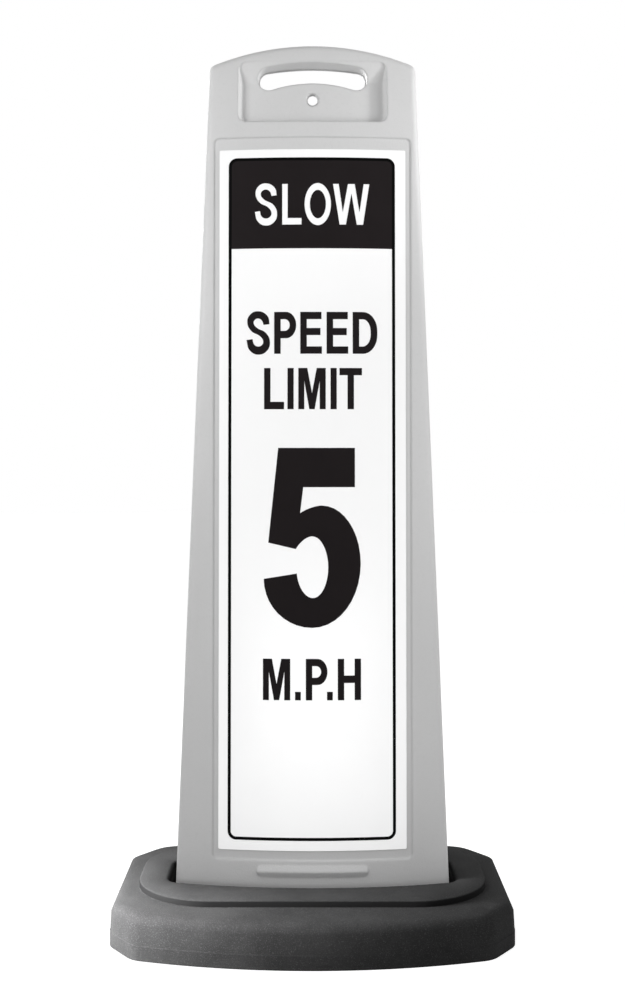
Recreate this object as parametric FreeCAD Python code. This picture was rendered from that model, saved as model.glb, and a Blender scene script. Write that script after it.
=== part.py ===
"""Portable speed limit sign: a hollow moulded panel standing in a rubber ring base.

Millimetres. The origin is on the floor under the middle of the sign, +Z is up,
+X is to the viewer's right and the printed face looks towards -Y.
"""
import FreeCAD, Part
import math
import os

from FreeCAD import Vector

# Panel: outline seen from the front
panel_height = 1022.5
panel_foot_width = 321.5
panel_top_width = 239.0
top_arc_radius = 342.0
shoulder_radius = 9.0
# Panel: section seen from the side
foot_thickness = 117.0
top_thickness = 55.0
face_radius = 650.0
edge_radius = 7.5
side_draft = 1.6
wall = 3.0
# Panel: flange at the foot, under the base
flange_height = 14.0
flange_reach = 12.0
# Panel: shallow recess for the printed sheet
recess_width = 229.0
recess_bottom = 84.0
recess_below_top = 108.0
recess_depth = 1.2
recess_corner = 6.0
# Printed sheet
sheet_width = 215.9
sheet_bottom = 95.2
sheet_below_top = 122.2
sheet_thickness = 0.5
glue_thickness = 0.2
sheet_corner = 1.5
# Panel: handle pocket
pocket_width = 169.5
pocket_height = 69.0
pocket_below_top = 19.5
pocket_depth = 9.0
pocket_corner = 9.0
pocket_side_slope = 0.5
pocket_ledge_slope = 0.1
pocket_top_run = 24.0
pocket_top_depth = 0.3
# Panel: handle slot
slot_length = 124.0
slot_height = 18.5
slot_below_top = 23.0
slot_end_radius = 11.0
slot_front_slope = 0.05
slot_back_slope = 0.22
web_thickness = 3.0
web_lip = 1.0
# Panel: hole for a warning light's bolt
bolt_hole_radius = 5.8
bolt_hole_below_top = 62.6
bolt_dimple_depth = 4.5
bolt_front_slope = 0.16
bolt_back_slope = 0.22
# Panel: low bead above the base
ridge_length = 127.0
ridge_low = 65.5
ridge_crest = 71.5
ridge_high = 79.0
ridge_reach = 2.6
ridge_rim_reach = 0.3
ridge_corner = 6.5
# Base: outline
base_width = 454.0
base_depth = 327.0
base_side_flat = 179.0
base_front_width = 393.0
base_front_bow = 31.0
base_corner_radius = 30.0
# Base: section
base_wall_top = 47.5
base_wall_draft = 1.2
mould_step_height = 16.0
mould_step = 0.4
base_edge_radius = 10.0
deck_slope_run = 28.0
deck_height = 49.5
round_step_count = 2
# Base: raised ring round the panel
ring_width = 406.0
ring_depth = 224.0
ring_corner = 90.0
ring_top = 56.5
ring_draft = 2.5
ring_edge_radius = 1.5
# Base: opening that the panel stands in, and the room below it for the flange
opening_side_gap = 6.5
opening_face_gap = 4.0
opening_lip_radius = 5.0
flange_side_gap = 3.0
flange_top_gap = 0.3
# Heights that follow the panel's
recess_top = panel_height - recess_below_top
sheet_height = panel_height - sheet_below_top - sheet_bottom
pocket_top = panel_height - pocket_below_top
pocket_bottom = pocket_top - pocket_height
slot_top = panel_height - slot_below_top
bolt_hole_height = panel_height - bolt_hole_below_top

FRONT = Vector(0, -1, 0)
UP = Vector(0, 0, 1)


def arc(start, middle, end):
    return Part.Arc(start, middle, end).toShape()


def line(start, end):
    return Part.LineSegment(start, end).toShape()


def prism(wire, along):
    return Part.Face(wire).extrude(along)


def loft(*wires):
    return Part.makeLoft(list(wires), True, True)


def with_mirror(shape):
    """Joins a shape to its mirror image behind the panel's middle plane."""
    return shape.fuse(shape.mirror(Vector(0, 0, 0), FRONT))


def panel_half_width(z):
    """Half the panel's width at a height, where its two mould halves meet."""
    return (panel_foot_width + (panel_top_width - panel_foot_width) * z / panel_height) / 2


def panel_half_thickness(z):
    """Half the panel's thickness at a height, on its middle line."""
    return (foot_thickness + (top_thickness - foot_thickness) * z / panel_height) / 2


def shoulder_corner(inset):
    """Where the panel's side line meets its top arc, both moved inwards by inset."""
    lean = (panel_foot_width - panel_top_width) / 2 / panel_height
    foot_x = panel_half_width(0) - inset * math.hypot(1, lean)
    radius = top_arc_radius - inset
    centre_z = panel_height - top_arc_radius
    a = 1 + lean ** 2
    b = lean * foot_x + centre_z
    c = foot_x ** 2 + centre_z ** 2 - radius ** 2
    z = (b + math.sqrt(b ** 2 - a * c)) / a
    return foot_x - lean * z, z


def panel_outline(y, inset):
    """The panel's outline in the plane at y, moved inwards by inset."""
    shoulder_x, shoulder_z = shoulder_corner(inset)
    lean = (panel_foot_width - panel_top_width) / 2 / panel_height
    foot_x = shoulder_x + lean * (shoulder_z - inset)
    foot_left, foot_right = Vector(-foot_x, y, inset), Vector(foot_x, y, inset)
    left, right = Vector(-shoulder_x, y, shoulder_z), Vector(shoulder_x, y, shoulder_z)
    crown = Vector(0, y, panel_height - inset)
    return Part.Wire([
        line(foot_left, foot_right),
        line(foot_right, right),
        arc(right, crown, left),
        line(left, foot_left),
    ])


def drum(low, high, inset):
    """A large drum whose skin bows between the panel's sides as its front does.

    low and high are (y, z) points that the skin passes through on the middle line,
    before it is moved inwards by inset.
    """
    run = Vector(0, high[0] - low[0], high[1] - low[1])
    axis = Vector(run)
    axis.normalize()
    inwards = Vector(0, axis.z, -axis.y)
    start = Vector(0, low[0], low[1]) + inwards * face_radius - axis * panel_height
    return Part.makeCylinder(face_radius - inset, 3 * panel_height, start, axis)


def face_drum(inset):
    """The drum whose skin is the panel's front, moved inwards by inset."""
    return drum((-foot_thickness / 2, 0), (-top_thickness / 2, panel_height), inset)


def box_outline(half_width, bottom, top, corner, y):
    """A rectangle with round corners in the plane at y."""
    corners = [
        (half_width - corner, bottom + corner, -90),
        (half_width - corner, top - corner, 0),
        (corner - half_width, top - corner, 90),
        (corner - half_width, bottom + corner, 180),
    ]

    def point(number, turn):
        x, z, first = corners[number % 4]
        angle = math.radians(first + turn)
        return Vector(x + corner * math.cos(angle), y, z + corner * math.sin(angle))

    edges = []
    for number in range(4):
        edges.append(arc(point(number, 0), point(number, 45), point(number, 90)))
        edges.append(line(point(number, 90), point(number + 1, 0)))
    return Part.Wire(edges)


def slot_outline(y, grow):
    """The handle slot's bent outline in the plane at y, with every edge moved out by grow."""
    top_radius = top_arc_radius - slot_below_top
    top_centre = slot_top - top_radius
    end_x = slot_length / 2 - slot_end_radius
    end_z = top_centre + math.sqrt((top_radius - slot_end_radius) ** 2 - end_x ** 2)
    low_z = slot_top - slot_height
    rise = end_z - low_z
    low_radius = (end_x ** 2 + rise ** 2 - slot_end_radius ** 2) / (2 * (slot_end_radius - rise))
    low_centre = low_z - low_radius

    def towards(centre_z, reach):
        """A point on the line from the middle line's centre to the end's centre."""
        away = Vector(end_x, 0, end_z - centre_z)
        away.normalize()
        return Vector(0, y, centre_z) + away * reach

    right_top = towards(top_centre, top_radius + grow)
    right_low = towards(low_centre, low_radius - grow)
    right_end = Vector(end_x + slot_end_radius + grow, y, end_z)

    def left(point):
        return Vector(-point.x, point.y, point.z)

    return Part.Wire([
        arc(left(right_top), Vector(0, y, slot_top + grow), right_top),
        arc(right_top, right_end, right_low),
        arc(right_low, Vector(0, y, low_z - grow), left(right_low)),
        arc(left(right_low), left(right_end), left(right_top)),
    ])


def edges_where(shape, wanted):
    """The edges whose middle point passes the test."""
    found = []
    for edge in shape.Edges:
        if wanted(edge.valueAt((edge.FirstParameter + edge.LastParameter) / 2)):
            found.append(edge)
    return found


def on_skin(tool, point):
    """Whether a point, or its mirror image behind the panel, lies on a drum's skin."""
    skin = tool.Faces[0].Surface
    near = Vector(point.x, -abs(point.y), point.z)
    return abs(near.distanceToLine(skin.Center, skin.Axis) - skin.Radius) < 0.01


def lens_body(inset):
    """The panel without its features: two bowed faces between drafted side walls."""
    reach = foot_thickness
    draft = side_draft * reach / (foot_thickness / 2)
    half = loft(panel_outline(0, inset), panel_outline(-reach, inset + draft))
    shoulder_z = shoulder_corner(inset)[1]
    shoulders = edges_where(half, lambda p: (
        -reach < p.y < 0 and abs(p.x) > 1 and p.z > shoulder_z - shoulder_radius))
    half = half.makeFillet(shoulder_radius - inset, shoulders)
    front = face_drum(inset)
    return with_mirror(half).common(front).common(front.mirror(Vector(0, 0, 0), FRONT))


def face_edges(body, inset):
    """The edges between the bowed faces and the sides and top."""
    front = face_drum(inset)
    return edges_where(body, lambda p: p.z > flange_height and on_skin(front, p))


def ridge():
    """The bead on both faces above the base: it rises to a crest and falls back."""
    def point(z, reach):
        return -panel_half_thickness(z) - reach, z

    outline = box_outline(ridge_length / 2, ridge_low, ridge_high, ridge_corner, 0)
    crest = point(ridge_crest, ridge_reach)
    upper = drum(crest, point(ridge_high, ridge_rim_reach), 0)
    lower = drum(point(ridge_low, ridge_rim_reach), crest, 0)
    return with_mirror(prism(outline, FRONT * foot_thickness).common(upper).common(lower))


def recess_tool(inset):
    """What the sheet's recess takes from the front."""
    outline = box_outline(recess_width / 2 + inset, recess_bottom - inset,
                          recess_top + inset, recess_corner + inset, 0)
    return prism(outline, FRONT * foot_thickness).cut(face_drum(recess_depth + inset))


def pocket_tool(inset):
    """What the handle's pocket takes from the front. Its floor rises to the face at the top."""
    slope_start = pocket_top - pocket_top_run
    floor_y = pocket_depth - panel_half_thickness(slope_start)

    def walls_outline(y):
        run = floor_y - y
        return box_outline(pocket_width / 2 + inset + pocket_side_slope * run,
                           pocket_bottom - inset - pocket_ledge_slope * run,
                           pocket_top + inset, pocket_corner, y)

    walls = loft(walls_outline(0), walls_outline(-top_thickness))
    top_y = pocket_top_depth - panel_half_thickness(pocket_top)
    slope = drum((floor_y, slope_start), (top_y, pocket_top), inset)
    return walls.cut(face_drum(pocket_depth + inset)).cut(slope)


def slot_tool(grow):
    """The handle slot right through the panel, flared from its thin middle web to both faces."""
    start = web_thickness / 2 - grow
    inner = grow + web_lip
    run = top_thickness - start
    front = loft(slot_outline(-start, inner),
                 slot_outline(-top_thickness, inner + slot_front_slope * run))
    back = loft(slot_outline(start, inner),
                slot_outline(top_thickness, inner + slot_back_slope * run))
    web = with_mirror(prism(slot_outline(0, grow), FRONT * web_thickness))
    return front.fuse(back).fuse(web)


def bolt_hole_tool(grow):
    """The hole for a warning light's bolt, in a dimple in front and a deep funnel behind."""
    web_front = pocket_depth + bolt_dimple_depth - panel_half_thickness(bolt_hole_height)
    web_back = web_front + web_thickness
    inner = bolt_hole_radius + web_lip + grow

    def cone(start, end, slope, along):
        length = abs(end - start)
        return Part.makeCone(inner, inner + slope * length, length,
                             Vector(0, start, bolt_hole_height), along)

    dimple = cone(web_front + grow, -top_thickness, bolt_front_slope, FRONT)
    funnel = cone(web_back - grow, top_thickness, bolt_back_slope, -FRONT)
    hole = Part.makeCylinder(bolt_hole_radius + grow, 2 * web_thickness,
                             Vector(0, web_back + web_thickness / 2, bolt_hole_height), FRONT)
    return dimple.fuse(funnel).fuse(hole)


def with_features(body, inset):
    """Adds the flange and takes the recesses, slot and hole, all moved inwards by inset."""
    rim = flange_outline(-inset)
    rim.translate(UP * inset)
    body = body.fuse(prism(rim, UP * (flange_height - 2 * inset)))
    body = body.cut(with_mirror(recess_tool(inset)))
    body = body.cut(with_mirror(pocket_tool(inset)))
    return body.cut(slot_tool(inset)).cut(bolt_hole_tool(inset))


def sign_panel():
    """The hollow moulded panel, closed all round."""
    body = lens_body(0)
    outside = with_features(body.makeFillet(edge_radius, face_edges(body, 0)), 0)
    outside = outside.fuse(ridge()).removeSplitter()
    core = lens_body(wall)
    core = core.makeChamfer(edge_radius - wall, face_edges(core, wall))
    return outside.cut(with_features(core, wall))


def sign_sheet():
    """The printed sheet glued to the recess floor, bowed as the panel's front is."""
    outline = box_outline(sheet_width / 2, sheet_bottom, sheet_bottom + sheet_height,
                          sheet_corner, 0)
    back = recess_depth - glue_thickness
    skin = face_drum(back - sheet_thickness).cut(face_drum(back))
    return prism(outline, FRONT * foot_thickness).common(skin)


def plan_box(half_width, half_depth, corner, bow_radius, z):
    """A rectangle seen from above with round corners, its long sides bowed outwards."""
    side_y = half_depth - bow_radius + math.sqrt(bow_radius ** 2 - half_width ** 2)
    sharp = Part.Wire([
        line(Vector(half_width, -side_y, z), Vector(half_width, side_y, z)),
        arc(Vector(half_width, side_y, z), Vector(0, half_depth, z), Vector(-half_width, side_y, z)),
        line(Vector(-half_width, side_y, z), Vector(-half_width, -side_y, z)),
        arc(Vector(-half_width, -side_y, z), Vector(0, -half_depth, z), Vector(half_width, -side_y, z)),
    ])
    return sharp.makeOffset2D(-corner).makeOffset2D(corner)


def opening_outline(z, grow):
    """The base's opening: the panel's section at the ring's top and the gap round it."""
    return plan_box(panel_half_width(ring_top) + opening_side_gap + grow,
                    panel_half_thickness(ring_top) + opening_face_gap + grow,
                    edge_radius + opening_side_gap + grow, face_radius, z)


def flange_outline(grow):
    """The foot flange's outline, which reaches under the base all round the opening."""
    return opening_outline(0, flange_reach + grow)


def base_outline(z, inset):
    """The base seen from above: bowed front and back, cut corners, straight sides."""
    half_width = base_width / 2
    half_depth = base_depth / 2
    side = base_side_flat / 2
    front_x = base_front_width / 2
    front_y = half_depth - base_front_bow
    sharp = Part.Wire([
        line(Vector(half_width, -side, z), Vector(half_width, side, z)),
        line(Vector(half_width, side, z), Vector(front_x, front_y, z)),
        arc(Vector(front_x, front_y, z), Vector(0, half_depth, z), Vector(-front_x, front_y, z)),
        line(Vector(-front_x, front_y, z), Vector(-half_width, side, z)),
        line(Vector(-half_width, side, z), Vector(-half_width, -side, z)),
        line(Vector(-half_width, -side, z), Vector(-front_x, -front_y, z)),
        arc(Vector(-front_x, -front_y, z), Vector(0, -half_depth, z), Vector(front_x, -front_y, z)),
        line(Vector(front_x, -front_y, z), Vector(half_width, -side, z)),
    ])
    return sharp.makeOffset2D(-inset - base_corner_radius).makeOffset2D(base_corner_radius)


def ring_outline(z, inset):
    """The raised ring's rounded outline."""
    outline = box_outline(ring_width / 2 - inset, -ring_depth / 2 + inset,
                          ring_depth / 2 - inset, ring_corner - inset, 0)
    outline.rotate(Vector(0, 0, 0), Vector(1, 0, 0), 90)
    outline.translate(UP * z)
    return outline


def round_steps(radius):
    """Steps of a quarter round, as how far from the wall and how far below the top each lies."""
    steps = []
    for number in range(round_step_count + 1):
        turn = math.pi / 2 * number / round_step_count
        steps.append((radius * (1 - math.cos(turn)), radius * (1 - math.sin(turn))))
    return steps


def stack(outline, levels):
    """A solid through an outline that is offset by the given amount at each height."""
    return loft(*[outline(z, offset) for offset, z in levels])


def base_block():
    """The base before its opening: drafted wall, round edge, sloping deck and raised ring."""
    foot = stack(base_outline, [(0, 0), (0, mould_step_height)])
    deck_inset = mould_step + base_wall_draft
    levels = [(mould_step, mould_step_height)]
    for inwards, down in round_steps(base_edge_radius):
        levels.append((deck_inset + inwards, base_wall_top - down))
    levels.append((deck_inset + base_edge_radius + deck_slope_run, deck_height))
    ring_levels = [(0, mould_step_height)]
    for inwards, down in round_steps(ring_edge_radius):
        ring_levels.append((ring_draft + inwards, ring_top - down))
    return foot.fuse(stack(base_outline, levels)).fuse(stack(ring_outline, ring_levels))


def opening_tool():
    """The opening right through the base, which widens in a round lip at the ring's top."""
    levels = [(0, 0)]
    for outwards, down in round_steps(opening_lip_radius):
        levels.append((outwards, ring_top - down))
    levels.append((opening_lip_radius, 2 * ring_top))
    return stack(opening_outline, levels)


def rubber_base():
    """The heavy ring that drops over the panel and holds its flange to the floor."""
    room = prism(flange_outline(flange_side_gap), UP * (flange_height + flange_top_gap))
    return base_block().cut(opening_tool()).cut(room)


def main():
    os.makedirs("parts", exist_ok=True)
    pieces = {
        "sign_panel": sign_panel(),
        "sign_sheet": sign_sheet(),
        "rubber_base": rubber_base(),
    }
    for name, shape in pieces.items():
        shape.exportStep("parts/" + name + ".step")


main()
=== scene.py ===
"""Finish, print and stage of a portable speed limit sign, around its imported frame.

Metres, in the frame of the CAD part: the origin is on the floor under the middle of
the sign, +Z is up, +X is to the viewer's right and the printed face looks towards -Y.
"""

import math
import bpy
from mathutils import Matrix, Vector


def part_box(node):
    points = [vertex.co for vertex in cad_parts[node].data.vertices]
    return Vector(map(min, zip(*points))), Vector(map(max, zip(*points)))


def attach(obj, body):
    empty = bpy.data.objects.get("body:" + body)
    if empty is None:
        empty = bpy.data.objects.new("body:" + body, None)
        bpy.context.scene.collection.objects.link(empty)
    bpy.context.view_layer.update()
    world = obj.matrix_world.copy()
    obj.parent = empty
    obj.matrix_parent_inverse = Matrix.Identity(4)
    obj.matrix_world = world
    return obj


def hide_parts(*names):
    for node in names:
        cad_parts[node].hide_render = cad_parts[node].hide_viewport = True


bl_info = {
    "name": "Portable Speed Limit Sign",
    "version": (1, 0, 0),
    "blender": (4, 5, 0),
    "location": "View3D > Sidebar > Speed Sign",
    "description": "Finishes the panel, sheet and base of a free-standing speed limit sign",
    "category": "Object",
}

import bmesh
import bpy
from bpy.props import FloatProperty, FloatVectorProperty, PointerProperty
from mathutils import Vector

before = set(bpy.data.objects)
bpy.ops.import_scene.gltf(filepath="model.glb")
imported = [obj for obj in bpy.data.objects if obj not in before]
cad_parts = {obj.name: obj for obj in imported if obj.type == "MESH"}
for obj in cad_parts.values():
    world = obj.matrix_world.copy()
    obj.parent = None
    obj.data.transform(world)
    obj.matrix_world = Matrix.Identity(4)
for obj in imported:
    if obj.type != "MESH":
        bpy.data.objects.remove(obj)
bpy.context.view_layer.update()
panel_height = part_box("sign_panel")[1].z

BODY = "root"


# Settings

class SignPanelSettings(bpy.types.PropertyGroup):
    """The hollow moulded panel."""

    plastic_color: FloatVectorProperty(
        name="Plastic", description="Colour of the moulded panel",
        subtype="COLOR", size=3, min=0, max=1, default=(0.7, 0.7, 0.7))
    plastic_roughness: FloatProperty(
        name="Roughness", description="How matt the panel is",
        subtype="FACTOR", min=0, max=1, default=0.46)
    skin_depth: FloatProperty(
        name="Skin depth", description="Depth of the fine moulded skin",
        subtype="DISTANCE", unit="LENGTH", min=0, max=0.002, default=0.0002)
    edge_round: FloatProperty(
        name="Edge round", description="Radius that softens the panel's small edges",
        subtype="DISTANCE", unit="LENGTH", min=0, max=0.008, default=0.004)
    crease: FloatProperty(
        name="Crease", description="Folds sharper than this stay sharp",
        subtype="ANGLE", unit="ROTATION", min=0, max=math.pi, default=math.radians(34))


class PrintedSheetSettings(bpy.types.PropertyGroup):
    """The printed sheet and the surface that it is bent to."""

    film_color: FloatVectorProperty(
        name="Film", description="Colour of the unprinted film",
        subtype="COLOR", size=3, min=0, max=1, default=(0.94, 0.94, 0.94))
    ink_color: FloatVectorProperty(
        name="Ink", description="Colour of the words and the band",
        subtype="COLOR", size=3, min=0, max=1, default=(0.0156, 0.0128, 0.0135))
    line_color: FloatVectorProperty(
        name="Line", description="Colour of the border line",
        subtype="COLOR", size=3, min=0, max=1, default=(0.001, 0.001, 0.001))
    bow_radius: FloatProperty(
        name="Bow radius", description="Radius of the panel's bowed face",
        subtype="DISTANCE", unit="LENGTH", min=0.2, max=5, default=0.65)
    foot_reach: FloatProperty(
        name="Foot reach", description="How far the face stands forward at the floor",
        subtype="DISTANCE", unit="LENGTH", min=0, max=0.5, default=0.0585)
    top_reach: FloatProperty(
        name="Top reach", description="How far the face stands forward at the top",
        subtype="DISTANCE", unit="LENGTH", min=0, max=0.5, default=0.0275)
    film_depth: FloatProperty(
        name="Film depth", description="How far the film's front lies behind the face",
        subtype="DISTANCE", unit="LENGTH", min=0, max=0.01, default=0.0005)
    ink_thickness: FloatProperty(
        name="Ink thickness", description="Thickness of the printed shapes",
        subtype="DISTANCE", unit="LENGTH", min=0.00002, max=0.001, default=0.0002)
    ink_spread: FloatProperty(
        name="Ink spread", description="How far the ink runs past the letters' outlines",
        subtype="DISTANCE", unit="LENGTH", min=0, max=0.001, default=0.00025)
    strip_width: FloatProperty(
        name="Strip width", description="Width of the strips that the print is bent in",
        subtype="DISTANCE", unit="LENGTH", min=0.002, max=0.05, default=0.008)
    border_width: FloatProperty(
        name="Border width", description="Width inside the border line's outer edge",
        subtype="DISTANCE", unit="LENGTH", min=0.05, max=0.5, default=0.1929)
    border_side: FloatProperty(
        name="Border side", description="Sideways place of the border's middle",
        subtype="DISTANCE", unit="LENGTH", min=-0.1, max=0.1, default=-0.0008)
    border_low: FloatProperty(
        name="Border foot", description="Height of the border line's lower edge",
        subtype="DISTANCE", unit="LENGTH", min=0, max=2, default=0.1066)
    border_high: FloatProperty(
        name="Border top", description="Height of the border line's upper edge",
        subtype="DISTANCE", unit="LENGTH", min=0, max=2, default=0.8907)
    border_line: FloatProperty(
        name="Line width", description="Width of the border line",
        subtype="DISTANCE", unit="LENGTH", min=0.0005, max=0.02, default=0.0035)
    border_corner: FloatProperty(
        name="Line corner", description="Outer radius of the border line's corners",
        subtype="DISTANCE", unit="LENGTH", min=0, max=0.05, default=0.0098)
    band_low: FloatProperty(
        name="Band foot", description="Height of the dark band's lower edge",
        subtype="DISTANCE", unit="LENGTH", min=0, max=2, default=0.7851)


class RubberBaseSettings(bpy.types.PropertyGroup):
    """The heavy rubber ring."""

    rubber_color: FloatVectorProperty(
        name="Rubber", description="Colour of the clean rubber",
        subtype="COLOR", size=3, min=0, max=1, default=(0.021, 0.021, 0.0213))
    dust_color: FloatVectorProperty(
        name="Dust", description="Colour of the dust in the rubber's skin",
        subtype="COLOR", size=3, min=0, max=1, default=(0.1, 0.1, 0.1))
    rubber_roughness: FloatProperty(
        name="Roughness", description="How matt the rubber is",
        subtype="FACTOR", min=0, max=1, default=0.68)
    crumb_depth: FloatProperty(
        name="Crumb depth", description="Depth of the crumbs in the rubber's skin",
        subtype="DISTANCE", unit="LENGTH", min=0, max=0.002, default=0.0003)
    step_low: FloatProperty(
        name="Step foot", description="Height of the deck under the ring's step",
        subtype="DISTANCE", unit="LENGTH", min=0, max=0.2, default=0.0495)
    step_high: FloatProperty(
        name="Step top", description="Height of the ring's flat top",
        subtype="DISTANCE", unit="LENGTH", min=0, max=0.2, default=0.0565)
    edge_round: FloatProperty(
        name="Edge round", description="Radius that softens the base's small edges",
        subtype="DISTANCE", unit="LENGTH", min=0, max=0.005, default=0.0015)
    crease: FloatProperty(
        name="Crease", description="Folds sharper than this stay sharp",
        subtype="ANGLE", unit="ROTATION", min=0, max=math.pi, default=math.radians(50))


class StageSettings(bpy.types.PropertyGroup):
    """Floor, sky and camera."""

    camera_distance: FloatProperty(
        name="Camera distance", description="How far the camera stands in front",
        subtype="DISTANCE", unit="LENGTH", min=0.5, max=10, default=1.6378)
    camera_height: FloatProperty(
        name="Camera height", description="Height of the level camera",
        subtype="DISTANCE", unit="LENGTH", min=0, max=5, default=0.566)
    lens: FloatProperty(
        name="Lens", description="Focal length in millimetres", min=10, max=300, default=50)
    frame_shift: FloatProperty(
        name="Shift", description="How far the level view is moved to frame the sign",
        min=-1, max=1, default=-0.062)
    floor_size: FloatProperty(
        name="Floor size", description="Radius of the floor",
        subtype="DISTANCE", unit="LENGTH", min=1, max=50, default=9)
    floor_color: FloatVectorProperty(
        name="Floor", description="Colour of the floor",
        subtype="COLOR", size=3, min=0, max=1, default=(0.86, 0.86, 0.86))
    floor_lift: FloatProperty(
        name="Floor lift", description="How much white is added where the floor is looked at",
        min=0, max=1, default=0.7)
    sky_level: FloatProperty(
        name="Sky level", description="How much light comes from all round",
        min=0, max=5, default=0.32)


# Materials

SMOOTH_RELIEF = 0.00001


def new_material(name):
    """An empty node material and its Principled shader."""
    material = bpy.data.materials.new(name)
    material.use_nodes = True
    tree = material.node_tree
    tree.nodes.clear()
    output = tree.nodes.new("ShaderNodeOutputMaterial")
    shader = tree.nodes.new("ShaderNodeBsdfPrincipled")
    tree.links.new(shader.outputs["BSDF"], output.inputs["Surface"])
    return material, tree, shader


def tinted(color, share):
    """A colour with each part taken times a share."""
    return tuple(part * share for part in color)


def set_input(tree, socket, value):
    """Links a socket to an input, or writes a number or a plain colour there."""
    if isinstance(value, bpy.types.NodeSocket):
        tree.links.new(value, socket)
    elif isinstance(value, (int, float)):
        socket.default_value = value
    else:
        socket.default_value = (*value, 1)


def add_noise(tree, place, scale, detail, roughness=0.5):
    """A noise pattern on the given coordinates. Its scale is a socket or a number."""
    noise = tree.nodes.new("ShaderNodeTexNoise")
    set_input(tree, noise.inputs["Scale"], scale)
    noise.inputs["Detail"].default_value = detail
    noise.inputs["Roughness"].default_value = roughness
    tree.links.new(place, noise.inputs["Vector"])
    return noise.outputs["Fac"]


def add_range(tree, value, low, high, to_low, to_high):
    """A value's range turned into another one, without going past its ends."""
    node = tree.nodes.new("ShaderNodeMapRange")
    node.inputs["From Min"].default_value = low
    node.inputs["From Max"].default_value = high
    node.inputs["To Min"].default_value = to_low
    node.inputs["To Max"].default_value = to_high
    tree.links.new(value, node.inputs["Value"])
    return node.outputs["Result"]


def add_mix(tree, factor, first, second):
    """Two colours mixed. Each is a socket or a plain colour."""
    node = tree.nodes.new("ShaderNodeMix")
    node.data_type = "RGBA"
    factor_input, first_color, second_color = (node.inputs[number] for number in (0, 6, 7))
    set_input(tree, factor_input, factor)
    set_input(tree, first_color, first)
    set_input(tree, second_color, second)
    return node.outputs[2]


def add_math(tree, operation, first, second):
    """Two values joined by an operation."""
    node = tree.nodes.new("ShaderNodeMath")
    node.operation = operation
    tree.links.new(first, node.inputs[0])
    tree.links.new(second, node.inputs[1])
    return node.outputs[0]


def moulded_skin_group():
    """The skin of a moulded or cast surface: broad mottling, specks and a fine relief."""
    group = bpy.data.node_groups.get("Moulded Skin")
    if group:
        return group
    group = bpy.data.node_groups.new("Moulded Skin", "ShaderNodeTree")
    for name, default in (("Mottle Scale", 9.0), ("Speck Scale", 400.0), ("Relief Scale", 900.0)):
        socket = group.interface.new_socket(name, in_out="INPUT", socket_type="NodeSocketFloat")
        socket.default_value = default
    for name in ("Mottle", "Specks", "Relief"):
        group.interface.new_socket(name, in_out="OUTPUT", socket_type="NodeSocketFloat")
    inputs = group.nodes.new("NodeGroupInput")
    outputs = group.nodes.new("NodeGroupOutput")
    place = group.nodes.new("ShaderNodeTexCoord").outputs["Object"]
    mottle = add_noise(group, place, inputs.outputs["Mottle Scale"], detail=4, roughness=0.6)
    specks = add_noise(group, place, inputs.outputs["Speck Scale"], detail=2, roughness=0.5)
    relief = add_noise(group, place, inputs.outputs["Relief Scale"], detail=3, roughness=0.55)
    group.links.new(add_range(group, mottle, 0.3, 0.7, 0, 1), outputs.inputs["Mottle"])
    group.links.new(add_range(group, specks, 0.55, 0.75, 0, 1), outputs.inputs["Specks"])
    group.links.new(relief, outputs.inputs["Relief"])
    return group


def add_skin(tree, mottle, speck, relief):
    """The skin group placed in a material with its own scales, in waves a metre."""
    node = tree.nodes.new("ShaderNodeGroup")
    node.node_tree = moulded_skin_group()
    node.inputs["Mottle Scale"].default_value = mottle
    node.inputs["Speck Scale"].default_value = speck
    node.inputs["Relief Scale"].default_value = relief
    return node.outputs


def add_relief(tree, shader, height, depth, edge_round):
    """Relief on the surface, over small edges that are softened."""
    bump = tree.nodes.new("ShaderNodeBump")
    bump.inputs["Strength"].default_value = 1
    bump.inputs["Distance"].default_value = depth
    tree.links.new(height, bump.inputs["Height"])
    if edge_round > 0:
        bevel = tree.nodes.new("ShaderNodeBevel")
        bevel.samples = 6
        bevel.inputs["Radius"].default_value = edge_round
        tree.links.new(bevel.outputs["Normal"], bump.inputs["Normal"])
    tree.links.new(bump.outputs["Normal"], shader.inputs["Normal"])


def panel_plastic(settings):
    """Satin moulded polyethylene, slightly cloudy."""
    material, tree, shader = new_material("panel_plastic")
    skin = add_skin(tree, mottle=7, speck=260, relief=620)
    clean = settings.plastic_color
    cloudy = add_mix(tree, skin["Mottle"], clean, tinted(clean, 0.955))
    faint = add_range(tree, skin["Specks"], 0, 1, 0, 0.5)
    tree.links.new(add_mix(tree, faint, cloudy, tinted(clean, 0.93)), shader.inputs["Base Color"])
    rough = settings.plastic_roughness
    uneven = add_range(tree, skin["Mottle"], 0, 1, rough - 0.04, rough + 0.06)
    tree.links.new(uneven, shader.inputs["Roughness"])
    shader.inputs["Subsurface Weight"].default_value = 0.12
    shader.inputs["Subsurface Radius"].default_value = (0.004, 0.004, 0.004)
    shader.inputs["IOR"].default_value = 1.5
    add_relief(tree, shader, skin["Relief"], settings.skin_depth, settings.edge_round)
    return material


def film_white(settings):
    """Smooth white film."""
    material, tree, shader = new_material("printed_film")
    skin = add_skin(tree, mottle=12, speck=500, relief=1500)
    clean = settings.film_color
    cloudy = add_mix(tree, skin["Mottle"], clean, tinted(clean, 0.985))
    tree.links.new(cloudy, shader.inputs["Base Color"])
    tree.links.new(add_range(tree, skin["Mottle"], 0, 1, 0.3, 0.36), shader.inputs["Roughness"])
    add_relief(tree, shader, skin["Relief"], SMOOTH_RELIEF, 0)
    return material


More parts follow.
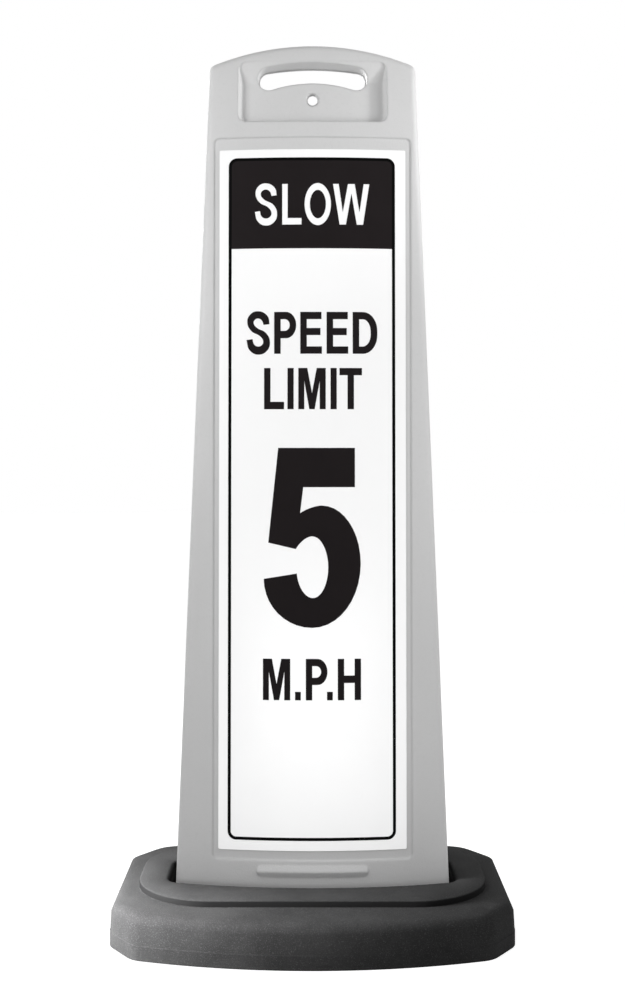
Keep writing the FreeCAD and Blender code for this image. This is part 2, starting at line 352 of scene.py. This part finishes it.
def ink(name, color):
    """Screen ink, a little uneven."""
    material, tree, shader = new_material(name)
    skin = add_skin(tree, mottle=30, speck=700, relief=1800)
    uneven = add_mix(tree, skin["Mottle"], color, tinted(color, 1.12))
    tree.links.new(uneven, shader.inputs["Base Color"])
    tree.links.new(add_range(tree, skin["Mottle"], 0, 1, 0.42, 0.5), shader.inputs["Roughness"])
    shader.inputs["Specular IOR Level"].default_value = 0.04
    add_relief(tree, shader, skin["Relief"], SMOOTH_RELIEF, 0)
    return material


def step_shade_mask(tree, settings):
    """One on the upright step between the ring and the deck round it, where the rubber's colour is
    darkened as painted shade.

    It fades in over the step's lowest millimetre, and fades out over its highest one
    and where the surface turns from upright to level.
    """
    def upward(coordinates):
        """The part of a place or a normal that points up."""
        split = tree.nodes.new("ShaderNodeSeparateXYZ")
        given = tree.nodes.new("ShaderNodeTexCoord").outputs[coordinates]
        tree.links.new(given, split.inputs["Vector"])
        return split.outputs["Z"]

    height = upward("Object")
    foot, top = settings.step_low, settings.step_high
    above = add_range(tree, height, foot - 0.0006, foot + 0.0004, 0, 1)
    below = add_range(tree, height, top - 0.0012, top, 1, 0)
    upright = add_range(tree, upward("Normal"), 0.55, 0.97, 1, 0)
    return add_math(tree, "MULTIPLY", add_math(tree, "MULTIPLY", above, below), upright)


def base_rubber(settings):
    """Recycled rubber: dark, matt, with pale crumbs and dust in its skin, and painted shade on the
    ring's step.
    """
    material, tree, shader = new_material("base_rubber")
    skin = add_skin(tree, mottle=14, speck=1100, relief=900)
    clean, dust = settings.rubber_color, settings.dust_color
    mottled = add_mix(tree, add_range(tree, skin["Mottle"], 0, 1, 0, 0.16), clean, dust)
    dusty = add_mix(tree, add_range(tree, skin["Specks"], 0, 1, 0, 0.5), mottled, dust)
    # Painted shade: the ring's upright step is darkened to half the clean rubber's colour, standing in
    # for the shadow on it.
    color = add_mix(tree, step_shade_mask(tree, settings), dusty, tinted(clean, 0.5))
    tree.links.new(color, shader.inputs["Base Color"])
    rough = settings.rubber_roughness
    uneven = add_range(tree, skin["Mottle"], 0, 1, rough - 0.05, rough + 0.1)
    tree.links.new(uneven, shader.inputs["Roughness"])
    shader.inputs["Specular IOR Level"].default_value = 0.02
    add_relief(tree, shader, skin["Relief"], settings.crumb_depth, settings.edge_round)
    return material


# Pieces

MERGE_DISTANCE = 0.000002
INK_MERGE_DISTANCE = 0.000005
SHORTEST_EDGE = 0.000001
CUT_DISTANCE = 0.0000001
# How far a Bezier handle reaches towards a corner to draw a quarter round
ROUND_HANDLE = 0.5523
CURVE_STEPS = 10
# How much of the ink's thickness its middle stands in front of the film
INK_LIFT = 0.35


def new_piece(mesh, name):
    """An object for a mesh, which rides with the sign."""
    mesh.name = name
    piece = bpy.data.objects.new(name, mesh)
    bpy.context.scene.collection.objects.link(piece)
    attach(piece, BODY)
    return piece


def merged_copy(node, name, crease, material):
    """A smooth copy of a node's skin: its loose triangles are joined and its folds kept sharp."""
    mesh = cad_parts[node].data.copy()
    if "custom_normal" in mesh.attributes:
        mesh.attributes.remove(mesh.attributes["custom_normal"])
    skin = bmesh.new()
    skin.from_mesh(mesh)
    bmesh.ops.remove_doubles(skin, verts=skin.verts, dist=MERGE_DISTANCE)
    for face in skin.faces:
        face.smooth = True
    for edge in skin.edges:
        edge.smooth = edge.is_manifold and edge.calc_face_angle() < crease
    skin.to_mesh(mesh)
    skin.free()
    mesh.materials.clear()
    mesh.materials.append(material)
    piece = new_piece(mesh, name)
    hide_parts(node)
    return piece


def film_front(settings, x, z):
    """How far forward the film's front lies at a place seen from the front."""
    lean = Vector((0, settings.foot_reach - settings.top_reach, panel_height)).normalized()
    inwards = Vector((0, lean.z, -lean.y))
    axis = Vector((0, -settings.foot_reach, 0)) + inwards * settings.bow_radius
    skin = settings.bow_radius - settings.film_depth
    towards = axis - inwards * math.sqrt(skin ** 2 - x ** 2)
    return (towards + lean * (z - towards.z) / lean.z).y


def outline_points(outline):
    """The Bezier points of an outline: (place, left handle, right handle, handle type).

    A node is (x, y) for a sharp corner, (x, y, before, after) for a corner rounded
    from that far before it to that far after it, or (x, y, None) for a smooth curve.
    """
    points = []
    for number, node in enumerate(outline):
        here = Vector((node[0], node[1], 0))
        before = Vector((*outline[number - 1][:2], 0))
        after = Vector((*outline[(number + 1) % len(outline)][:2], 0))
        if len(node) == 2:
            points.append((here, here, here, "VECTOR"))
        elif len(node) == 3:
            points.append((here, here, here, "AUTO"))
        else:
            start = here + (before - here).normalized() * node[2]
            end = here + (after - here).normalized() * node[3]
            points.append((start, start, start.lerp(here, ROUND_HANDLE), "FREE"))
            points.append((end, end.lerp(here, ROUND_HANDLE), end, "FREE"))
    return joined_points(points)


def joined_points(points):
    """Neighbours at one place made one point, so that one round corner can run into the next."""
    kept = []
    for point in points:
        if kept and (kept[-1][0] - point[0]).length < SHORTEST_EDGE:
            kept[-1] = (point[0], kept[-1][1], point[2], "FREE")
        else:
            kept.append(point)
    if (kept[0][0] - kept[-1][0]).length < SHORTEST_EDGE:
        last = kept.pop()
        kept[0] = (kept[0][0], last[1], kept[0][2], "FREE")
    return kept


def flat_shape(context, outlines, thickness):
    """A thin flat mesh that fills the outlines."""
    curve = bpy.data.curves.new("flat_shape", "CURVE")
    curve.dimensions = "2D"
    curve.fill_mode = "BOTH"
    curve.extrude = thickness / 2
    curve.resolution_u = CURVE_STEPS
    for outline in outlines:
        points = outline_points(outline)
        spline = curve.splines.new("BEZIER")
        spline.bezier_points.add(len(points) - 1)
        spline.use_cyclic_u = True
        for point, (place, left, right, kind) in zip(spline.bezier_points, points):
            point.co = place
            point.handle_left_type = point.handle_right_type = kind
            point.handle_left = left
            point.handle_right = right
    flat = bpy.data.objects.new("flat_shape", curve)
    context.scene.collection.objects.link(flat)
    context.view_layer.update()
    mesh = bpy.data.meshes.new_from_object(flat.evaluated_get(context.evaluated_depsgraph_get()))
    bpy.data.objects.remove(flat)
    bpy.data.curves.remove(curve)
    return mesh


def bend_to_film(settings, mesh):
    """Cuts a flat mesh in upright strips and lays it on the film's bowed front."""
    shape = bmesh.new()
    shape.from_mesh(mesh)
    bmesh.ops.remove_doubles(shape, verts=shape.verts, dist=INK_MERGE_DISTANCE)
    reach = max(abs(vert.co.x) for vert in shape.verts)
    cuts = int(reach / settings.strip_width)
    for number in range(-cuts, cuts + 1):
        bmesh.ops.bisect_plane(
            shape, geom=shape.verts[:] + shape.edges[:] + shape.faces[:], dist=CUT_DISTANCE,
            plane_co=(number * settings.strip_width, 0, 0), plane_no=(1, 0, 0))
    bmesh.ops.dissolve_degenerate(shape, dist=SHORTEST_EDGE, edges=shape.edges)
    lift = settings.ink_thickness * INK_LIFT
    for vert in shape.verts:
        x, height, out = vert.co
        vert.co = (x, film_front(settings, x, height) - out - lift, height)
    bmesh.ops.triangulate(shape, faces=shape.faces)
    bmesh.ops.recalc_face_normals(shape, faces=shape.faces)
    shape.to_mesh(mesh)
    shape.free()


def print_shape(context, name, outlines, material):
    """Prints the outlines on the film's front, filled with ink."""
    settings = context.scene.sign_sheet
    mesh = flat_shape(context, outlines, settings.ink_thickness)
    bend_to_film(settings, mesh)
    mesh.materials.clear()
    mesh.materials.append(material)
    piece = new_piece(mesh, name)


def rounded_box(low, high, corner):
    """A rectangle's outline with round corners."""
    return [
        (low[0], low[1], corner, corner), (high[0], low[1], corner, corner),
        (high[0], high[1], corner, corner), (low[0], high[1], corner, corner),
    ]


# Letters: each is its width and its outlines, in cap heights

LETTERS = {
    "S": (0.56, [[
        (0.545, 0.715), (0.50, 0.90, None), (0.275, 1.02, None), (0.075, 0.93, None),
        (0.02, 0.74, None),
        (0.12, 0.545, None), (0.33, 0.42, None), (0.405, 0.30, None), (0.375, 0.205, None),
        (0.28, 0.165, None), (0.18, 0.21, None), (0.135, 0.345),
        (0.0, 0.325), (0.075, 0.085, None), (0.28, -0.02, None), (0.49, 0.075, None),
        (0.555, 0.29, None),
        (0.46, 0.495, None), (0.23, 0.63, None), (0.16, 0.735, None), (0.185, 0.815, None),
        (0.275, 0.855, None), (0.365, 0.81, None), (0.41, 0.70),
    ]]),
    "L": (0.48, [[(0, 0), (0.48, 0), (0.48, 0.17), (0.145, 0.17), (0.145, 1), (0, 1)]]),
    "O": (0.652, [
        [(0, -0.016, 0.518, 0.326), (0.652, -0.016, 0.326, 0.518), (0.652, 1.02, 0.518, 0.326),
         (0, 1.02, 0.326, 0.518)],
        [(0.142, 0.162, 0.34, 0.187), (0.516, 0.162, 0.187, 0.34), (0.516, 0.842, 0.34, 0.187),
         (0.142, 0.842, 0.187, 0.34)],
    ]),
    "W": (0.895, [[
        (0.161, 0), (0.324, 0), (0.453, 0.727), (0.577, 0), (0.741, 0), (0.895, 1), (0.745, 1),
        (0.648, 0.348), (0.539, 1), (0.364, 1), (0.245, 0.348), (0.151, 1), (0, 1),
    ]]),
    "P": (0.52, [
        [(0, 0), (0.145, 0), (0.145, 0.375), (0.52, 0.375, 0.24, 0.312), (0.52, 1, 0.313, 0.24), (0, 1)],
        [(0.145, 0.54), (0.375, 0.54, 0.13, 0.148), (0.375, 0.835, 0.147, 0.13), (0.145, 0.835)],
    ]),
    "E": (0.51, [[
        (0, 0), (0.51, 0), (0.51, 0.165), (0.145, 0.165), (0.145, 0.45), (0.475, 0.45), (0.475, 0.61),
        (0.145, 0.61), (0.145, 0.835), (0.50, 0.835), (0.50, 1), (0, 1),
    ]]),
    "D": (0.58, [
        [(0, 0), (0.585, 0, 0.34, 0.45), (0.585, 1, 0.45, 0.34), (0, 1)],
        [(0.145, 0.165), (0.435, 0.165, 0.2, 0.29), (0.435, 0.835, 0.29, 0.2), (0.145, 0.835)],
    ]),
    "I": (0.14, [[(0, 0), (0.14, 0), (0.14, 1), (0, 1)]]),
    "M": (0.66, [[
        (0, 0), (0.135, 0), (0.135, 0.75), (0.27, 0), (0.39, 0), (0.525, 0.75), (0.525, 0), (0.66, 0),
        (0.66, 1), (0.45, 1), (0.33, 0.36), (0.21, 1), (0, 1),
    ]]),
    "T": (0.54, [[
        (0.1975, 0), (0.3425, 0), (0.3425, 0.835), (0.54, 0.835), (0.54, 1), (0, 1), (0, 0.835),
        (0.1975, 0.835),
    ]]),
    "H": (0.56, [[
        (0, 0), (0.145, 0), (0.145, 0.42), (0.415, 0.42), (0.415, 0), (0.56, 0), (0.56, 1), (0.415, 1),
        (0.415, 0.59), (0.145, 0.59), (0.145, 1), (0, 1),
    ]]),
    ".": (0.13, [[(0, 0), (0.13, 0), (0.13, 0.195), (0, 0.195)]]),
    "5": (0.539, [[
        (0.507, 1), (0.507, 0.783), (0.218, 0.783), (0.2, 0.634), (0.262, 0.678, 0.076, 0.061),
        (0.539, 0.678, 0.216, 0.323), (0.539, 0, 0.355, 0.27), (0, 0, 0.269, 0.269), (0, 0.269),
        (0.182, 0.299), (0.194, 0.163, 0.1365, 0.079), (0.36, 0.163, 0.087, 0.17),
        (0.36, 0.509, 0.176, 0.091), (0.216, 0.509, 0.053, 0.081), (0.177, 0.438), (0.025, 0.473),
        (0.08, 1),
    ]]),
}

# Words: each is the gaps between its letters in cap heights, then its foot, its cap height
# and the sideways place of its middle in metres

WORDS = {
    "SLOW": ((0.107, 0.06, 0.036), 0.8124, 0.0478, -0.0005),
    "SPEED": ((0.11, 0.11, 0.125, 0.12), 0.6634, 0.0478, -0.0008),
    "LIMIT": ((0.095, 0.125, 0.13, 0.08), 0.5994, 0.0470, 0.0006),
    "5": ((), 0.3488, 0.2056, -0.0003),
    "M.P.H": ((0.13, 0.135, 0.0, 0.135), 0.2663, 0.0466, -0.0006),
}


def spread_outline(outline, by):
    """An outline moved outwards by a distance, or inwards by a negative one."""
    places = [Vector(node[:2]) for node in outline]
    following = places[1:] + places[:1]
    turn = sum(here.cross(after) for here, after in zip(places, following))
    outwards = math.copysign(by, turn * by)
    moved = []
    for number, here in enumerate(places):
        before = (here - places[number - 1]).normalized()
        after = (following[number] - here).normalized()
        first, second = Vector((before.y, -before.x)), Vector((after.y, -after.x))
        moved.append(here + (first + second) * outwards / (1 + first.dot(second)))
    spread = []
    for number, node in enumerate(outline):
        rest = node[2:]
        if len(node) == 4:
            rest = [
                reach * (moved[other] - moved[number]).length / (places[other] - places[number]).length
                for reach, other in zip(rest, (number - 1, (number + 1) % len(outline)))]
        spread.append((*moved[number], *rest))
    return spread


def word_outlines(text, spread):
    """The outlines of a word in metres at its place, each moved outwards by spread."""
    gaps, foot, height, middle = WORDS[text]
    width = sum(LETTERS[letter][0] for letter in text) + sum(gaps)
    left = middle - width * height / 2
    outlines = []
    for letter, gap in zip(text, (*gaps, 0)):
        for is_hole, outline in enumerate(LETTERS[letter][1]):
            placed = [
                (left + node[0] * height, foot + node[1] * height)
                + tuple(reach and reach * height for reach in node[2:])
                for node in outline]
            outlines.append(spread_outline(placed, -spread if is_hole else spread))
        left += (LETTERS[letter][0] + gap) * height
    return outlines


# Stage

# Lamps: each is its place, its target, its width and height or its beam's angle, its power
# and, where it has one, the only piece that it lights

LAMPS = {
    "left_lamp": ((-0.65, -0.45, 0.9), (0, 0, 0.8), (0.3, 0.5), 3.15, None),
    "right_lamp": ((0.65, -0.35, 0.7), (0, 0, 0.65), (0.3, 0.5), 2.0, None),
    "back_lamp": ((-0.5, 1.3, 1.1), (0, 0, 0.5), (0.8, 0.8), 9, None),
    "crown_lamp": ((1.45, -0.44, 1.1), (0, 0, 0.98), math.radians(22), 44, None),
    "foot_lamp": ((0, -0.24, 1.15), (0, -0.06, 0.07), math.radians(20), 9, "moulded_panel"),
    "foot_fill": ((0, -0.9, 0.04), (0, 0, 0.07), (0.4, 0.08), 0.45, "moulded_panel"),
    "film_lamp": ((0, -0.8, 0.07), (0, 0, 0.07), (0.6, 0.5), 3.9, "white_film"),
    "film_top_lamp": ((0, -0.7, 1.0), (0, 0, 1.0), (0.4, 0.3), 0.4, "white_film"),
    "base_lamp": ((-0.43, -0.2, 0.2), (-0.13, -0.1, 0.02), (0.14, 0.14), 13, "cast_ring"),
}
BEAM_SOFTNESS = 0.8
BEAM_RADIUS = 0.12


def background_ray(tree):
    """One where the background is looked at or mirrored, and nought for the light on the sign."""
    path = tree.nodes.new("ShaderNodeLightPath")
    mirrored = add_math(
        tree, "MAXIMUM", path.outputs["Is Glossy Ray"], path.outputs["Is Transmission Ray"])
    return add_math(tree, "MAXIMUM", path.outputs["Is Camera Ray"], mirrored)


def floor_material(settings):
    """Pale floor that keeps the sign's soft shadow and goes to white away from it."""
    material, tree, shader = new_material("pale_floor")
    place = tree.nodes.new("ShaderNodeTexCoord").outputs["Object"]
    color = settings.floor_color
    shade = add_noise(tree, place, scale=3, detail=3)
    tree.links.new(add_mix(tree, shade, color, tinted(color, 0.99)), shader.inputs["Base Color"])
    shader.inputs["Roughness"].default_value = 0.8
    shader.inputs["Specular IOR Level"].default_value = 0.2
    lift = tree.nodes.new("ShaderNodeEmission")
    strength = add_range(tree, background_ray(tree), 0, 1, 0, settings.floor_lift)
    tree.links.new(strength, lift.inputs["Strength"])
    both = tree.nodes.new("ShaderNodeAddShader")
    tree.links.new(shader.outputs["BSDF"], both.inputs[0])
    tree.links.new(lift.outputs["Emission"], both.inputs[1])
    output = next(node for node in tree.nodes if node.type == "OUTPUT_MATERIAL")
    tree.links.new(both.outputs["Shader"], output.inputs["Surface"])
    return material


def add_floor(settings):
    """A round floor under the sign."""
    disc = bmesh.new()
    bmesh.ops.create_circle(disc, cap_ends=True, segments=96, radius=settings.floor_size)
    mesh = bpy.data.meshes.new("pale_floor")
    disc.to_mesh(mesh)
    disc.free()
    mesh.materials.append(floor_material(settings))
    floor = bpy.data.objects.new("pale_floor", mesh)
    bpy.context.scene.collection.objects.link(floor)


def add_sky(settings):
    """Even light from all round, behind a white background."""
    world = bpy.data.worlds.new("soft_sky")
    world.use_nodes = True
    tree = world.node_tree
    sky = tree.nodes["Background"]
    sky.inputs["Color"].default_value = (1, 1, 1, 1)
    strength = add_range(tree, background_ray(tree), 0, 1, settings.sky_level, 1)
    tree.links.new(strength, sky.inputs["Strength"])
    bpy.context.scene.world = world


def add_lamp(name, place, target, spread, power, only):
    """A soft lamp that looks at a target: a rectangle of a size, or a beam of an angle."""
    if isinstance(spread, tuple):
        lamp = bpy.data.lights.new(name, "AREA")
        lamp.shape = "RECTANGLE"
        lamp.size, lamp.size_y = spread
    else:
        lamp = bpy.data.lights.new(name, "SPOT")
        lamp.spot_size = spread
        lamp.spot_blend = BEAM_SOFTNESS
        lamp.shadow_soft_size = BEAM_RADIUS
    lamp.energy = power
    holder = bpy.data.objects.new(name, lamp)
    bpy.context.scene.collection.objects.link(holder)
    holder.location = place
    holder.rotation_euler = (Vector(target) - Vector(place)).to_track_quat("-Z", "Y").to_euler()
    if only:
        lit = bpy.data.collections.new(name + "_lit")
        lit.objects.link(bpy.data.objects[only])
        holder.light_linking.receiver_collection = lit


def add_camera(settings):
    """A level camera in front of the sign."""
    camera = bpy.data.cameras.new("camera")
    camera.lens = settings.lens
    camera.shift_y = settings.frame_shift
    holder = bpy.data.objects.new("camera", camera)
    bpy.context.scene.collection.objects.link(holder)
    holder.location = (0, -settings.camera_distance, settings.camera_height)
    holder.rotation_euler = (math.pi / 2, 0, 0)
    bpy.context.scene.camera = holder


# Operators

class SPEEDSIGN_OT_finish_panel(bpy.types.Operator):
    """Give the hollow panel its smooth moulded skin and plastic"""

    bl_idname = "speedsign.finish_panel"
    bl_label = "Finish Panel"

    def execute(self, context):
        settings = context.scene.sign_panel
        piece = merged_copy("sign_panel", "moulded_panel", settings.crease, panel_plastic(settings))
        return {"FINISHED"}


class SPEEDSIGN_OT_finish_sheet(bpy.types.Operator):
    """Give the sheet its white film"""

    bl_idname = "speedsign.finish_sheet"
    bl_label = "Finish Sheet"

    def execute(self, context):
        settings = context.scene.sign_sheet
        crease = context.scene.sign_panel.crease
        piece = merged_copy("sign_sheet", "white_film", crease, film_white(settings))
        return {"FINISHED"}


class SPEEDSIGN_OT_print_border(bpy.types.Operator):
    """Print the border line and the dark band with its pale word"""

    bl_idname = "speedsign.print_border"
    bl_label = "Print Border and Band"

    def execute(self, context):
        settings = context.scene.sign_sheet
        side = settings.border_width / 2
        left, right = settings.border_side - side, settings.border_side + side
        line, corner = settings.border_line, settings.border_corner
        inner_corner = corner - line
        inner_low = (left + line, settings.border_low + line)
        inner_high = (right - line, settings.border_high - line)
        print_shape(context, "border_line", [
            rounded_box((left, settings.border_low), (right, settings.border_high), corner),
            rounded_box(inner_low, inner_high, inner_corner),
        ], ink("line_ink", settings.line_color))
        band = [
            (inner_low[0], settings.band_low), (inner_high[0], settings.band_low),
            (inner_high[0], inner_high[1], inner_corner, inner_corner),
            (inner_low[0], inner_high[1], inner_corner, inner_corner),
        ]
        word = word_outlines("SLOW", -settings.ink_spread)
        print_shape(context, "slow_band", [band] + word, ink("band_ink", settings.ink_color))
        return {"FINISHED"}


class SPEEDSIGN_OT_print_words(bpy.types.Operator):
    """Print the words, the number and the unit"""

    bl_idname = "speedsign.print_words"
    bl_label = "Print Words"

    def execute(self, context):
        settings = context.scene.sign_sheet
        material = ink("word_ink", settings.ink_color)
        spread = settings.ink_spread
        words = word_outlines("SPEED", spread) + word_outlines("LIMIT", spread)
        print_shape(context, "limit_words", words, material)
        print_shape(context, "limit_number", word_outlines("5", spread), material)
        print_shape(context, "limit_unit", word_outlines("M.P.H", spread), material)
        return {"FINISHED"}


class SPEEDSIGN_OT_finish_base(bpy.types.Operator):
    """Give the ring its cast rubber skin"""

    bl_idname = "speedsign.finish_base"
    bl_label = "Finish Base"

    def execute(self, context):
        settings = context.scene.rubber_ring
        piece = merged_copy("rubber_base", "cast_ring", settings.crease, base_rubber(settings))
        return {"FINISHED"}


class SPEEDSIGN_OT_set_stage(bpy.types.Operator):
    """Lay the pale floor and set the soft lamps and the camera"""

    bl_idname = "speedsign.set_stage"
    bl_label = "Set Stage"

    def execute(self, context):
        settings = context.scene.sign_stage
        add_floor(settings)
        add_sky(settings)
        for name, lamp in LAMPS.items():
            add_lamp(name, *lamp)
        add_camera(settings)
        context.scene.view_settings.view_transform = "Standard"
        return {"FINISHED"}


STEPS = (
    SPEEDSIGN_OT_finish_panel,
    SPEEDSIGN_OT_finish_sheet,
    SPEEDSIGN_OT_print_border,
    SPEEDSIGN_OT_print_words,
    SPEEDSIGN_OT_finish_base,
    SPEEDSIGN_OT_set_stage,
)


class SPEEDSIGN_PT_sign(bpy.types.Panel):
    """The steps that finish the sign"""

    bl_label = "Speed Sign"
    bl_space_type = "VIEW_3D"
    bl_region_type = "UI"
    bl_category = "Speed Sign"

    def draw(self, context):
        column = self.layout.column(align=True)
        for step in STEPS:
            column.operator(step.bl_idname)
        for settings in (context.scene.sign_panel, context.scene.sign_sheet,
                         context.scene.rubber_ring, context.scene.sign_stage):
            box = self.layout.box()
            for name in settings.bl_rna.properties.keys():
                if name not in ("rna_type", "name"):
                    box.prop(settings, name)


GROUPS = {
    "sign_panel": SignPanelSettings,
    "sign_sheet": PrintedSheetSettings,
    "rubber_ring": RubberBaseSettings,
    "sign_stage": StageSettings,
}
CLASSES = tuple(GROUPS.values()) + STEPS + (SPEEDSIGN_PT_sign,)


def register():
    for item in CLASSES:
        bpy.utils.register_class(item)
    for name, group in GROUPS.items():
        setattr(bpy.types.Scene, name, PointerProperty(type=group))


def unregister():
    for name in GROUPS:
        delattr(bpy.types.Scene, name)
    for item in reversed(CLASSES):
        bpy.utils.unregister_class(item)


def main():
    register()
    bpy.ops.speedsign.finish_panel()
    bpy.ops.speedsign.finish_sheet()
    bpy.ops.speedsign.print_border()
    bpy.ops.speedsign.print_words()
    bpy.ops.speedsign.finish_base()
    bpy.ops.speedsign.set_stage()


if __name__ == "__main__":
    main()
